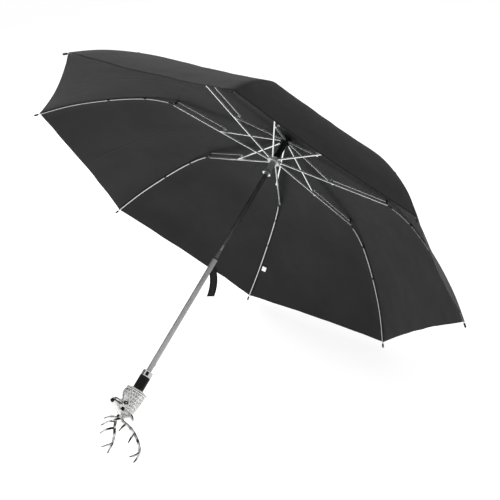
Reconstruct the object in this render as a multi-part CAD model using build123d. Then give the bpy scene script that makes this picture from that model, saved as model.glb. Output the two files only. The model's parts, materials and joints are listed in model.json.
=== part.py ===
from build123d import *
import math
import os

# Folding umbrella with a stag-head handle, open, in millimetres.
# +Z runs up the shaft, the origin is the foot of the ferrule, and the stag looks along -Y.
# Ribs stand at 0, 45, 90 ... degrees about Z. One rib set is built in the XZ plane, then turned.

os.makedirs("parts", exist_ok=True)

# ---- driving sizes ----
RIBS = 8
STEP = 360 / RIBS
CANOPY_R = 480.0          # shaft axis to a fabric corner
CROWN_Z = -12.0           # plane of the top rib pivots
RUNNER_Z = CROWN_Z - 49.3  # plane of the stretcher pivots, umbrella open
CROWN_PIVOT_R = 7.0
RUNNER_PIVOT_R = 10.5
ELBOW = (128.5, CROWN_Z - 40.3)   # top rib to stretcher pivot: radius, height
STRETCHER_LENGTH = 235.5
UPPER_TUBE_LENGTH = 324.7
LOWER_TUBE_TOP = CROWN_Z - 293.7
COLLAR_TOP = CROWN_Z - 551.0
GRIP_TOP = CROWN_Z - 562.3
NECK_Z = CROWN_Z - 593.0  # wide end of the stag's neck, against the grip sleeve

# ---- shaft sizes ----
UPPER_R = 4.3
UPPER_BORE = 3.8
LOWER_R = 5.25
LOWER_BORE = 4.85
RUNNER_BORE = 5.7
RUNNER_R = 6.6
GRIP_R = 10.6
COLLAR_R = 10.2
SOCKET_DEPTH = 18.0
SLIP = 0.03               # gap between pieces pressed together
TUBE_TOP = -1.2           # upper tube, inside the ferrule
FLANGE = (11.0, 3.0)      # ferrule flange: radius, thickness
FINIAL = (4.0, 14.0)      # ferrule pin: radius, length
CROWN = (10.0, 8.0)       # slotted crown: radius, half height
HUB = (13.5, 4.0)         # slotted runner hub: radius, half height
FINGER_RING = (9.0, 3.0)  # foot of the runner: radius, height
SLOT_DROP = 2.2           # slots reach this far past the pivot plane
LEAF = (3.0, 12.0)        # shaft catch: width, height
CATCH_WIDTH = 3.0
BUTTON = (6.0, 8.0)       # push button: width, height

# ---- rib sizes ----
PIN_R = 0.6               # wire rings
RIVET_R = 0.78
HOLE_GAP = 0.05
TOP_RIB_HEIGHT = 3.4
STRETCHER_HEIGHT = 3.0
OUTER_RIB_HEIGHT = 2.0
LINK_HEIGHT = 2.2
CHANNEL_WALL = 0.5
RIB_LAYER = (-1.3, 1.3)         # top rib and the outer rib's ear, across the rib plane
BOW_LAYER = (-0.95, 0.95)       # bowed channel of the outer rib
STRETCHER_LAYER = (-4.1, -1.7)
LINK_LAYER = (1.7, 3.1)
HEAD = 0.35                     # rivet head, face of the rib to top of the head
LIFT = 0.03                     # gap under a rivet head

# ---- folded angles, which fix the length of the control links ----
OPEN_TOP_RIB = math.degrees(math.atan2(ELBOW[1] - CROWN_Z, ELBOW[0] - CROWN_PIVOT_R))
OPEN_STRETCHER = math.degrees(math.atan2(ELBOW[1] - RUNNER_Z, ELBOW[0] - RUNNER_PIVOT_R))
CLOSED_TOP_RIB = -87.0
OUTER_RIB_SWING = -57.0
TOP_RIB_LENGTH = math.hypot(ELBOW[0] - CROWN_PIVOT_R, ELBOW[1] - CROWN_Z)
ELBOW_FROM_RUNNER = math.hypot(ELBOW[0] - RUNNER_PIVOT_R, ELBOW[1] - RUNNER_Z)


def polar(origin, length, degrees):
    """Point at a distance and angle from another, in the rib plane."""
    a = math.radians(degrees)
    return (origin[0] + length * math.cos(a), origin[1] + length * math.sin(a))


CROWN_PIVOT = (CROWN_PIVOT_R, CROWN_Z)
RUNNER_PIVOT = (RUNNER_PIVOT_R, RUNNER_Z)
KNEE = polar(RUNNER_PIVOT, STRETCHER_LENGTH, OPEN_STRETCHER)

# folded positions of the elbow and the knee
CLOSED_ELBOW = polar(CROWN_PIVOT, TOP_RIB_LENGTH, CLOSED_TOP_RIB)
CLOSED_STRETCHER = math.degrees(math.acos((CLOSED_ELBOW[0] - RUNNER_PIVOT_R) / ELBOW_FROM_RUNNER))
CLOSED_KNEE = polar(CLOSED_ELBOW, STRETCHER_LENGTH - ELBOW_FROM_RUNNER, CLOSED_STRETCHER)

# the control link joins an ear on the top rib to an ear on the outer rib
EAR = 10.7
EAR_ANGLE = 127.0
EAR_PIVOT = polar(ELBOW, EAR, EAR_ANGLE)
CLOSED_EAR_PIVOT = polar(CLOSED_ELBOW, EAR, EAR_ANGLE + CLOSED_TOP_RIB - OPEN_TOP_RIB)


def tail_length():
    """Length of the outer rib's ear that keeps the link the same length open and folded."""
    open_gap = (KNEE[0] - EAR_PIVOT[0], KNEE[1] - EAR_PIVOT[1])
    closed_gap = (CLOSED_KNEE[0] - CLOSED_EAR_PIVOT[0], CLOSED_KNEE[1] - CLOSED_EAR_PIVOT[1])
    u = polar((0, 0), 1, EAR_ANGLE)
    v = polar((0, 0), 1, EAR_ANGLE + OUTER_RIB_SWING)
    square = closed_gap[0] ** 2 + closed_gap[1] ** 2 - open_gap[0] ** 2 - open_gap[1] ** 2
    along = open_gap[0] * u[0] + open_gap[1] * u[1] - closed_gap[0] * v[0] - closed_gap[1] * v[1]
    return square / (2 * along)


TAIL_PIVOT = polar(KNEE, tail_length(), EAR_ANGLE)
CLOSED_RUNNER_Z = polar(CLOSED_ELBOW, -ELBOW_FROM_RUNNER, CLOSED_STRETCHER)[1]
RUNNER_TRAVEL = RUNNER_Z - CLOSED_RUNNER_Z
SHAFT_TRAVEL = 268.0

# ---- catches and button ----
RUNNER_LOW = CROWN_Z - 82.3
LEAF_Z = CROWN_Z - 266.4
CATCH_Z = CROWN_Z - 530.0
CATCH_AZIMUTH = 45
BUTTON_AZIMUTH = -32
BUTTON_Z = (COLLAR_TOP + GRIP_TOP) / 2

# centre line of the bowed outer rib, as radius and drop below the crown plane
RIB_POINTS = [KNEE] + [
    (r, CROWN_Z + z)
    for r, z in [(306, -49), (351, -74), (395, -104), (440, -140.5), (480, -181.5), (485, -186.9)]
]
TIP_R = 2.0

# ---- canopy ----
CLOTH = 0.3
CLOTH_GAP = 0.8           # cloth above the rib's top edge
HEM_PULL = 0.02           # how far the hem is drawn in between ribs, as a share of the radius
CLOTH_TOP = -3.55         # underside of the cloth at the crown
CLOTH_HOLE_R = 4.8

# ---- stag ----
NECK_R = 23.0
HEAD_TOP = 58.0


def slab(face, layer):
    """A flat outline in the rib plane, given thickness across that plane."""
    return extrude(Plane.XZ.offset(-layer[1]) * face, amount=layer[1] - layer[0])


def bar(p, q, height):
    """Round-ended outline between two points."""
    length = math.hypot(q[0] - p[0], q[1] - p[1])
    angle = math.degrees(math.atan2(q[1] - p[1], q[0] - p[0]))
    middle = Pos((p[0] + q[0]) / 2, (p[1] + q[1]) / 2)
    return middle * Rot(0, 0, angle) * SlotCenterToCenter(length, height)


def dot(p, radius):
    """Round outline at a point."""
    return Pos(p[0], p[1]) * Circle(radius)


def rivet(p, shank, heads):
    """Rivet across the rib plane: a shank span and a list of head spans."""
    body = slab(dot(p, RIVET_R), shank)
    for head in heads:
        body += slab(dot(p, RIVET_R * 2), head)
    return body


def hole(p, layer, radius=RIVET_R + HOLE_GAP):
    """Cutter for a pivot hole."""
    return slab(dot(p, radius), (layer[0] - 1, layer[1] + 1))


def channel_cut(p, q, height, layer, inset):
    """Cutter that hollows a bar from above into a channel, leaving solid ends."""
    length = math.hypot(q[0] - p[0], q[1] - p[1])
    angle = math.degrees(math.atan2(q[1] - p[1], q[0] - p[0]))
    middle = Pos((p[0] + q[0]) / 2, (p[1] + q[1]) / 2) * Rot(0, 0, angle)
    outline = middle * Pos(0, CHANNEL_WALL) * Rectangle(length - 2 * inset, height)
    return slab(outline, (layer[0] + CHANNEL_WALL, layer[1] - CHANNEL_WALL))


def tube(outer, bore, top, bottom):
    """Round tube on the shaft axis."""
    length = top - bottom
    place = Pos(0, 0, (top + bottom) / 2)
    return place * (Cylinder(outer, length) - Cylinder(bore, length + 2))


def ring_wire(radius, z, wire_r):
    """Eight-sided ring of round wire, one straight side per rib."""
    side = 2 * radius * math.tan(math.pi / RIBS)
    piece = Pos(radius, 0, z) * Rot(90, 0, 0) * Cylinder(wire_r, side + 4 * wire_r)
    reach = radius * 2
    half = reach * math.tan(math.pi / RIBS)
    wedge = make_face(Polyline((0, 0), (reach, -half), (reach, half), (0, 0)))
    piece = piece & (Pos(0, 0, z - 2) * extrude(wedge, amount=4))
    wire = piece
    for k in range(1, RIBS):
        wire += Rot(0, 0, k * STEP) * piece
    return wire


def slots(inner, reach, layer, bottom, top):
    """Cutters for one slot per rib, open outwards."""
    width = layer[1] - layer[0]
    block = Box(reach - inner, width, top - bottom)
    block = Pos((inner + reach) / 2, (layer[0] + layer[1]) / 2, (top + bottom) / 2) * block
    return [Rot(0, 0, k * STEP) * block for k in range(RIBS)]


def widen(layer, gap=0.2):
    return (layer[0] - gap, layer[1] + gap)


# ---- rib set ----
def top_rib():
    """Channel from the crown to the elbow, with an ear for the control link."""
    ear_foot = polar(ELBOW, -16, OPEN_TOP_RIB)
    spine = bar(CROWN_PIVOT, ELBOW, TOP_RIB_HEIGHT)
    ear = bar(ELBOW, EAR_PIVOT, TOP_RIB_HEIGHT) + bar(ear_foot, EAR_PIVOT, TOP_RIB_HEIGHT)
    body = slab(spine, RIB_LAYER) + slab(ear, (-0.6, 0.6)) + slab(dot(EAR_PIVOT, 1.7), RIB_LAYER)
    body -= channel_cut(CROWN_PIVOT, ELBOW, TOP_RIB_HEIGHT, RIB_LAYER, 9)
    body -= hole(CROWN_PIVOT, RIB_LAYER, PIN_R + HOLE_GAP)
    body -= hole(ELBOW, RIB_LAYER)
    body -= hole(EAR_PIVOT, RIB_LAYER)
    back, front = RIB_LAYER
    elbow_rivet = rivet(ELBOW, (back, front + HEAD), [(front + LIFT, front + HEAD)])
    ear_rivet = rivet(EAR_PIVOT, RIB_LAYER, [])
    return Compound(children=[body, elbow_rivet, ear_rivet])


def stretcher():
    """Channel from the runner past the elbow to the knee."""
    body = slab(bar(RUNNER_PIVOT, KNEE, STRETCHER_HEIGHT), STRETCHER_LAYER)
    near = polar(ELBOW, -6, OPEN_STRETCHER)
    far = polar(ELBOW, 6, OPEN_STRETCHER)
    body -= channel_cut(RUNNER_PIVOT, near, STRETCHER_HEIGHT, STRETCHER_LAYER, 8)
    body -= channel_cut(far, KNEE, STRETCHER_HEIGHT, STRETCHER_LAYER, 8)
    body -= hole(RUNNER_PIVOT, STRETCHER_LAYER, PIN_R + HOLE_GAP)
    body -= hole(ELBOW, STRETCHER_LAYER)
    body -= hole(KNEE, STRETCHER_LAYER)
    back, front = STRETCHER_LAYER
    back_head = (back - HEAD, back - LIFT)
    elbow_rivet = rivet(ELBOW, (back - HEAD, front), [back_head])
    end = RIB_LAYER[1] + HEAD
    knee_rivet = rivet(KNEE, (back - HEAD, end), [back_head, (RIB_LAYER[1] + LIFT, end)])
    return Compound(children=[body, elbow_rivet, knee_rivet])


def rib_curve():
    return Spline(*[(r, z) for r, z in RIB_POINTS])


def rib_band(low, high, start, end):
    """Outline that follows the outer rib between two offsets from its centre line."""
    curve = rib_curve()
    marks = [start + (end - start) * i / 12 for i in range(13)]
    edge_points = []
    for offset in (low, high):
        row = []
        for u in marks:
            p = curve.position_at(u)
            t = curve.tangent_at(u)
            row.append((p.X - t.Y * offset, p.Y + t.X * offset))
        edge_points.append(row)
    lower, upper = edge_points
    outline = Spline(*lower) + Line(lower[-1], upper[-1]) + Spline(*upper[::-1])
    outline += Line(upper[0], lower[0])
    return make_face(outline)


def outer_rib():
    """Bowed channel from the knee to the tip, with the ear the control link works."""
    half = OUTER_RIB_HEIGHT / 2
    body = slab(rib_band(-half, half, 0, 1), BOW_LAYER)
    inside = (BOW_LAYER[0] + CHANNEL_WALL, BOW_LAYER[1] - CHANNEL_WALL)
    body -= slab(rib_band(CHANNEL_WALL - half, half + 1, 0.05, 1), inside)
    body += slab(bar(KNEE, TAIL_PIVOT, TOP_RIB_HEIGHT), RIB_LAYER)
    body -= hole(KNEE, RIB_LAYER)
    body -= hole(TAIL_PIVOT, RIB_LAYER)
    top = LINK_LAYER[1]
    ear_rivet = rivet(TAIL_PIVOT, (RIB_LAYER[0], top + HEAD), [(top + LIFT, top + HEAD)])
    return Compound(children=[body, ear_rivet])


def control_link():
    """Flat link beside the ribs that folds the outer rib."""
    body = slab(bar(EAR_PIVOT, TAIL_PIVOT, LINK_HEIGHT), LINK_LAYER)
    body += slab(dot(EAR_PIVOT, 1.6) + dot(TAIL_PIVOT, 1.6), LINK_LAYER)
    body -= hole(EAR_PIVOT, LINK_LAYER)
    body -= hole(TAIL_PIVOT, LINK_LAYER)
    top = LINK_LAYER[1]
    ear_rivet = rivet(EAR_PIVOT, (LINK_LAYER[0], top + HEAD), [(top + LIFT, top + HEAD)])
    return Compound(children=[body, ear_rivet])


def rib_tip():
    """Ball-ended plastic cap on the end of the outer rib."""
    curve = rib_curve()
    end = curve @ 1
    along = curve % 1
    place = Plane(origin=(end.X, 0, end.Y), x_dir=(0, 1, 0), z_dir=(along.X, 0, along.Y))
    cap = place * Pos(0, 0, -0.5) * Cylinder(TIP_R, 7)
    cap += place * Pos(0, 0, 3) * Sphere(TIP_R)
    width = OUTER_RIB_HEIGHT + 0.1
    return cap - place * Pos(0, 0, -2.4) * Box(width, width, 4.9)


# ---- canopy ----
def cloth_line(offset):
    """Points along a seam: straight from the crown to the knee, then just above the outer rib."""
    curve = rib_curve()
    gap = OUTER_RIB_HEIGHT / 2 + CLOTH_GAP + offset
    over_knee = (TAIL_PIVOT[0], TAIL_PIVOT[1] + 3.0 + offset)
    points = [(CLOTH_HOLE_R, CLOTH_TOP + offset), (11.0, CLOTH_TOP + offset)]
    slope = (over_knee[1] - points[1][1]) / (over_knee[0] - points[1][0])
    for r in (60, 120, 180):
        points.append((r, points[1][1] + slope * (r - points[1][0])))
    points.append(over_knee)
    for u in (0.3, 0.4, 0.5, 0.6, 0.7, 0.8, 0.9, 0.975):
        p = curve.position_at(u)
        t = curve.tangent_at(u)
        points.append((p.X - t.Y * gap, p.Y + t.X * gap))
    return points


def cloth_section(scale, pull, azimuth, shift):
    """Closed thin outline of the cloth in one plane through the shaft."""
    rows = []
    for offset in (0, CLOTH):
        row = []
        for r, z in cloth_line(offset):
            row.append((r * scale * (1 - pull * r / CANOPY_R), z))
        rows.append(row)
    low, high = rows
    wire = Wire([Spline(*low), Line(low[-1], high[-1]), Spline(*high[::-1]), Line(high[0], low[0])])
    plane = Plane(origin=(0, 0, 0), x_dir=(1, 0, 0), z_dir=(0, -1, 0)).offset(-shift)
    return Rot(0, 0, azimuth) * (plane * wire)


def canopy():
    """Eight gores, each a thin closed sheet drawn in along its hem."""
    half = STEP / 2
    gap = 0.05
    sections = [
        cloth_section(1, 0, 0, gap),
        cloth_section(math.cos(math.radians(half)), HEM_PULL, half, 0),
        cloth_section(1, 0, STEP, -gap),
    ]
    gore = Solid.make_loft(sections, ruled=False)
    return Compound(children=[Rot(0, 0, k * STEP) * gore for k in range(RIBS)])


# ---- crown and shaft ----
def ferrule():
    """Turned finial that clamps the cloth on the crown."""
    flange_r, thickness = FLANGE
    pin_r, length = FINIAL
    body = Pos(0, 0, -thickness / 2) * Cylinder(flange_r, thickness)
    body += Pos(0, 0, length / 2) * Cylinder(pin_r, length)
    body += Pos(0, 0, length) * Sphere(pin_r)
    rim = [e for e in body.edges().filter_by(GeomType.CIRCLE) if e.radius > flange_r - 1]
    body = fillet(rim, 0.8)
    pocket = Cylinder(UPPER_R + SLIP, thickness)
    return body - Pos(0, 0, TUBE_TOP + 0.2 - thickness / 2) * pocket


def crown_notch():
    """Slotted crown that holds the top rib ends."""
    radius, half = CROWN
    body = tube(radius, UPPER_R + SLIP, CROWN_Z + half, CROWN_Z - half)
    floor = CROWN_Z - half - 1
    body -= slots(CROWN_PIVOT_R - 2, radius + 2, widen(RIB_LAYER), floor, CROWN_Z + SLOT_DROP)
    return body - ring_wire(CROWN_PIVOT_R, CROWN_Z, PIN_R + HOLE_GAP)


def upper_tube():
    """Thin upper shaft with a flared foot that the mouth of the lower tube stops."""
    bottom = TUBE_TOP - UPPER_TUBE_LENGTH
    body = tube(UPPER_R, UPPER_BORE, TUBE_TOP, bottom)
    body += tube(LOWER_BORE - 0.08, UPPER_BORE, bottom + 5, bottom)
    width, height = LEAF
    leaf_slot = Pos(UPPER_R, 0, LEAF_Z) * Box(4, width + 0.2, height + 0.2)
    keyway_top = LEAF_Z + 16
    keyway = Box(4, CATCH_WIDTH + 0.4, keyway_top - bottom + 2)
    keyway = Pos(UPPER_R, 0, (keyway_top + bottom) / 2) * keyway
    return body - Rot(0, 0, BUTTON_AZIMUTH) * leaf_slot - Rot(0, 0, CATCH_AZIMUTH) * keyway


def shaft_catch():
    """Flush leaf in the upper tube that is pressed in to let the shaft slide."""
    width, height = LEAF
    leaf = Pos(UPPER_R, 0, LEAF_Z) * Box(4, width, height)
    leaf &= tube(UPPER_R, UPPER_BORE, LEAF_Z + height, LEAF_Z - height)
    return Rot(0, 0, BUTTON_AZIMUTH) * leaf


def lower_tube():
    """Wide lower shaft, from the joint down into the stag's neck."""
    bottom = NECK_Z - SOCKET_DEPTH
    body = tube(LOWER_R, LOWER_BORE, LOWER_TUBE_TOP, bottom)
    window = Pos(LOWER_R, 0, CATCH_Z) * Box(6, CATCH_WIDTH + 0.2, 14.4)
    return body - Rot(0, 0, CATCH_AZIMUTH) * window


def tube_junction():
    """Bush in the mouth of the lower tube."""
    bore = UPPER_R + 0.05
    mouth = LOWER_TUBE_TOP + SLIP
    lip = tube(LOWER_R + 0.3, bore, LOWER_TUBE_TOP + 2.5, mouth)
    return lip + tube(LOWER_BORE - SLIP, bore, mouth, LOWER_TUBE_TOP - 12)


# ---- runner ----
def runner_sleeve():
    """Long sleeve with a finger ring at its foot and a window for the runner catch."""
    ring_r, ring = FINGER_RING
    body = tube(RUNNER_R, RUNNER_BORE, CROWN_Z - CROWN[1] - 1, RUNNER_LOW)
    body += tube(ring_r, RUNNER_BORE, RUNNER_LOW + ring, RUNNER_LOW)
    body += tube((ring_r + RUNNER_R) / 2, RUNNER_BORE, RUNNER_LOW + 2 * ring, RUNNER_LOW + ring)
    window_z = CATCH_Z + SHAFT_TRAVEL + RUNNER_TRAVEL
    window = Pos(RUNNER_R, 0, window_z) * Box(8, CATCH_WIDTH + 0.6, 15)
    return body - Rot(0, 0, CATCH_AZIMUTH) * window


def runner_hub():
    """Slotted hub that holds the stretcher ends."""
    radius, half = HUB
    body = tube(radius, RUNNER_R + SLIP, RUNNER_Z + half, RUNNER_Z - half)
    ceiling = RUNNER_Z + half + 1
    body -= slots(RUNNER_PIVOT_R - 2, radius + 2, widen(STRETCHER_LAYER), RUNNER_Z - SLOT_DROP, ceiling)
    return body - ring_wire(RUNNER_PIVOT_R, RUNNER_Z, PIN_R + HOLE_GAP)


def runner_catch():
    """Sprung wedge in the lower tube that latches the closed runner."""
    wedge = make_face(Polyline((2.4, -7), (4.4, -7), (6.9, -5.5), (4.4, 7), (2.4, 7), (2.4, -7)))
    body = Pos(0, 0, CATCH_Z) * slab(wedge, (-CATCH_WIDTH / 2, CATCH_WIDTH / 2))
    return Rot(0, 0, CATCH_AZIMUTH) * body


# ---- collar, button and grip ----
def button_collar():
    """Bright collar with the pocket for the push button."""
    body = tube(COLLAR_R, LOWER_R + SLIP, COLLAR_TOP, GRIP_TOP)
    body = fillet(body.edges().filter_by(GeomType.CIRCLE).sort_by(Axis.Z)[-1:], 0.8)
    pocket = Pos(LOWER_R + 3.15, 0, BUTTON_Z) * Box(6, BUTTON[0] + 0.1, BUTTON[1] + 0.1)
    return body - Rot(0, 0, BUTTON_AZIMUTH) * pocket


def push_button():
    """Button that opens and closes the umbrella."""
    body = Pos(COLLAR_R - 0.6, 0, BUTTON_Z) * Box(3, *BUTTON)
    body = fillet(body.edges().filter_by(Axis.X), 1.4)
    body = fillet(body.faces().sort_by(Axis.X)[-1].edges(), 0.6)
    return Rot(0, 0, BUTTON_AZIMUTH) * body


def button_spring():
    """Coil behind the push button."""
    coil = Helix(pitch=0.8, height=2.0, radius=1.6)
    start = Plane(origin=coil @ 0, z_dir=coil % 0)
    body = sweep(start * Circle(0.18), path=coil, is_frenet=True)
    return Rot(0, 0, BUTTON_AZIMUTH) * (Pos(5.7, 0, BUTTON_Z) * Rot(0, 90, 0) * body)


def grip_sleeve():
    """Black sleeve between the collar and the stag's neck."""
    return tube(GRIP_R, LOWER_R + SLIP, GRIP_TOP - SLIP, NECK_Z + 3.4)


# ---- stag ----
def stag_point(forward, side, up):
    """Point on the stag: forward along -Y, side along +X, up away from the shaft."""
    return Vector(side, -forward, NECK_Z - up)


def taper(p, q, r1, r2):
    """Round tapered limb between two points."""
    span = q - p
    place = Plane(origin=p, z_dir=span)
    body = place * Pos(0, 0, span.length / 2) * Cone(r1, r2, span.length)
    return body + Pos(*p) * Sphere(r1) + Pos(*q) * Sphere(r2)


def horn(points, radii):
    """Curved tapered horn through a few points."""
    path = Spline(*points)
    sections = []
    for i, r in enumerate(radii):
        u = i / (len(radii) - 1)
        sections.append(Plane(origin=path @ u, z_dir=path % u) * Circle(r))
    return loft(sections)


BEAM = [(1, 8, 52), (1.8, 9.9, 60.7), (-5.2, 19.5, 65.2), (-21.5, 36.1, 74.1), (-38, 46, 90),
        (-43.5, 49.5, 103), (-43.5, 47.5, 118)]
TINES = [
    [(1.4, 9.6, 60), (10, 13, 63.5), (21.3, 14.4, 73.7)],
    [(-5, 19.3, 65.1), (2, 26, 72), (8.9, 32.3, 84.8)],
    [(-21.4, 36, 74), (-14, 44, 83), (-9.4, 51.5, 95.6)],
    [(-42.5, 48.6, 99), (-35, 51, 108), (-27.5, 51.1, 114.7)],
]


def antler(side):
    """One antler: a swept beam with four tines, and a peg that enters the head."""
    def place(p):
        return stag_point(p[0], side * p[1], p[2])
    body = horn([place(p) for p in BEAM], [1.6, 2.2, 2.0, 1.9, 1.7, 1.5, 0.7])
    for tine in TINES:
        body += horn([place(p) for p in tine], [1.5, 1.3, 0.5])
    return body


def stag_head(horns):
    """Neck, head and ears, cast in one, with sockets for the antlers and the shaft."""
    neck = [(0, 0), (NECK_R, 0), (NECK_R, -2.5), (20.8, -5)]
    skin = Spline((20.8, -5), (20.2, -18), (17.2, -36), (12.5, -50), (6, -HEAD_TOP))
    outline = Polyline(*neck) + skin + Polyline((6, -HEAD_TOP), (0, -HEAD_TOP), (0, 0))
    body = Pos(0, 0, NECK_Z) * revolve(Plane.XZ * make_face(outline), Axis.Z)
    body += taper(stag_point(4, 0, 42), stag_point(20, 0, 41), 13.5, 9.5)
    body += taper(stag_point(20, 0, 41), stag_point(35, 0, 37), 9.5, 5.2)
    body += Pos(*stag_point(36, 0, 38)) * Sphere(5.4)
    for side in (-1, 1):
        body += taper(stag_point(0, side * 7, 50), stag_point(1.8, side * 9.9, 59.5), 5, 2.8)
        body += taper(stag_point(-5, side * 12, 46), stag_point(-8, side * 20, 50), 4.5, 3.6)
        body += taper(stag_point(-8, side * 20, 50), stag_point(-11, side * 27, 55), 3.6, 1.2)
        body += Pos(*stag_point(13, side * 9.5, 45)) * Sphere(3.2)
    for h in horns:
        body -= h
    socket = Pos(0, 0, NECK_Z - SOCKET_DEPTH / 2) * Cylinder(LOWER_R + SLIP, SOCKET_DEPTH + 0.4)
    return body - socket


# ---- strap and label ----
STRAP_OFFSET = 9.5        # degrees from the middle of its gore
STRAP_GORE = 157.5
STRAP_SIZE = (12.5, 76.0, 1.0)
STRAP_HANG = Vector(-0.307, 0.740, -0.600)   # plumb line when the open umbrella rests on the ground
LABEL_SIZE = (12, 10, 0.4)
LABEL_R = 416
LABEL_DROP = 127          # below the crown plane
LABEL_TILT = 39
LABEL_AZIMUTH = 133.4


def closure_strap():
    """Tie strap hanging from the hem."""
    width, length, thickness = STRAP_SIZE
    a = math.radians(STRAP_GORE - STRAP_OFFSET)
    chord = CANOPY_R * math.cos(math.radians(STEP / 2)) / math.cos(math.radians(STRAP_OFFSET))
    hem_r = chord * (1 - 0.8 * HEM_PULL)
    hem = Vector(hem_r * math.cos(a), hem_r * math.sin(a), cloth_line(0)[-1][1])
    across = Vector(-math.sin(a), math.cos(a), 0)
    face_out = across.cross(STRAP_HANG).normalized()
    place = Plane(origin=hem + STRAP_HANG * 2, x_dir=STRAP_HANG.cross(face_out), z_dir=face_out)
    flat = place * Pos(0, length / 2) * RectangleRounded(width, length, 3)
    return extrude(flat, amount=thickness)


def care_label():
    """Blank label sewn beside one seam."""
    tag = Pos(LABEL_R, 0, CROWN_Z - LABEL_DROP) * Rot(0, LABEL_TILT, 0) * Box(*LABEL_SIZE)
    return Rot(0, 0, LABEL_AZIMUTH) * tag


def save(name, shape):
    export_step(shape, f"parts/{name}.step")


def main():
    rib_set = {
        "top_rib": top_rib(),
        "stretcher": stretcher(),
        "outer_rib": outer_rib(),
        "control_link": control_link(),
        "rib_tip": rib_tip(),
    }
    for name, piece in rib_set.items():
        for k in range(RIBS):
            save(f"{name}_{k + 1}", Rot(0, 0, k * STEP) * piece)
    horns = [antler(1), antler(-1)]
    single = {
        "canopy": canopy(),
        "ferrule": ferrule(),
        "crown_notch": crown_notch(),
        "crown_wire": ring_wire(CROWN_PIVOT_R, CROWN_Z, PIN_R),
        "upper_tube": upper_tube(),
        "shaft_catch": shaft_catch(),
        "lower_tube": lower_tube(),
        "tube_junction": tube_junction(),
        "runner_sleeve": runner_sleeve(),
        "runner_hub": runner_hub(),
        "runner_wire": ring_wire(RUNNER_PIVOT_R, RUNNER_Z, PIN_R),
        "runner_catch": runner_catch(),
        "button_collar": button_collar(),
        "push_button": push_button(),
        "button_spring": button_spring(),
        "grip_sleeve": grip_sleeve(),
        "stag_head": stag_head(horns),
        "antlers": Compound(children=horns),
        "closure_strap": closure_strap(),
        "care_label": care_label(),
    }
    for name, piece in single.items():
        save(name, piece)


main()
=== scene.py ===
import json
import math

import bmesh
import bpy
import numpy as np
from mathutils import Matrix, Vector, noise

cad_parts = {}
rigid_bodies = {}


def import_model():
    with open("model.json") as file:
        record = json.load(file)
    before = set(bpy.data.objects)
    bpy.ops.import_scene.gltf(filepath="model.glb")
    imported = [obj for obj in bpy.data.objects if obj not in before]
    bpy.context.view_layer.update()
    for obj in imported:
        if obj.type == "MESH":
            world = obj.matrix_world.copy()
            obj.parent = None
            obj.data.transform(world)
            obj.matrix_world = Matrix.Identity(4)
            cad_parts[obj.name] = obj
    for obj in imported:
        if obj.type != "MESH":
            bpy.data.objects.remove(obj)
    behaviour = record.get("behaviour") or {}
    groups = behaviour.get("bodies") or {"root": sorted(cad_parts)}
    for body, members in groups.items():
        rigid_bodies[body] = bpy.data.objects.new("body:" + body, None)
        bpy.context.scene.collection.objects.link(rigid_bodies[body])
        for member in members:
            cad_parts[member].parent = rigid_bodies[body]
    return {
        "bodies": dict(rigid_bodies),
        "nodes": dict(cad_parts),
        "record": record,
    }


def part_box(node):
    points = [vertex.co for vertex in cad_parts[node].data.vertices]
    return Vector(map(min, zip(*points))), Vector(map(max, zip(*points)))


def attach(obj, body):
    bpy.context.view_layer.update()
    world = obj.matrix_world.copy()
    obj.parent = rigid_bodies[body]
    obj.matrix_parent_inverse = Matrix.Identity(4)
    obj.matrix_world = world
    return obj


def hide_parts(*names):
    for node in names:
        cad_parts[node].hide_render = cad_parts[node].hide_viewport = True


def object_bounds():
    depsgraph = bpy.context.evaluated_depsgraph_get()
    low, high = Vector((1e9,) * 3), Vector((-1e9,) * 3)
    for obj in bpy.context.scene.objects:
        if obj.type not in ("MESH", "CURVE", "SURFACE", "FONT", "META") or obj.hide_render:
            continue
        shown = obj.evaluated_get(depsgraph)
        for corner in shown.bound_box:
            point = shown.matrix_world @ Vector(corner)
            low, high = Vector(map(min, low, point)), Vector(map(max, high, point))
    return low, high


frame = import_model()
cad_low, cad_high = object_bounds()
nodes = frame["nodes"]

# ---- sizes, in metres, in the row frame ----
RIBS = 8
STEP = 2 * math.pi / RIBS      # angle from one rib to the next
CANOPY_R = 0.480
CROWN_Z = -0.012
NECK_Z = CROWN_Z - 0.593       # wide end of the stag's neck
CLOTH = 0.0003
CLOTH_ROWS = 72
GORE_COLUMNS = 16
HEM_PULL = 0.02                # share of the radius by which a gore's hem is drawn in
FOLD_RIPPLE = 0.0011
SLACK_RIPPLE = 0.0018
CLOTH_TOP = -0.0034
CLOTH_START = (0.0046, 0.011)  # flat ring of cloth under the ferrule
TAIL = (0.2392, -0.0322)      # cloth height over the outer rib's ear
KNEE = (0.2453, -0.0434)
RIB_LINE = [KNEE] + [
    (r, CROWN_Z + z)
    for r, z in [(0.306, -0.049), (0.351, -0.074), (0.395, -0.104), (0.440, -0.1405),
                 (0.480, -0.1815), (0.485, -0.1869)]
]
CLOTH_OVER_RIB = 0.0020
FOLD_AT = 0.245                # pressed fold around the cloth, at the ribs' knees
KNEE_MOULDING = 0.2565         # the black hinged end of an outer rib reaches this far out

CROWN_HOLD = (0.012, 0.04)     # radii between which the cloth lets go of the crown
OUTER_HOLD = (0.135, 0.238)    # radii between which it passes to the outer ribs
STRETCHER_PULL = 0.25          # the stretchers' share of the cloth in between

STITCH_IN = 0.0042             # stitches run this far in from a seam or hem
STITCH_LENGTH = 0.003
HEM_FOLD = (0.0052, 0.0060)    # inner edge of the turned hem

TIES = (0.305, 0.372)          # thread loops that hold the cloth to an outer rib
TIE_WIDE = 0.0015
TIE_HIGH = 0.0019
TIE_LIFT = 0.0006
TIE_TURNS = 9
TIE_SIDES = 16
TIE_PITCH = 0.0007
TIE_SWELL = 0.12

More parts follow.
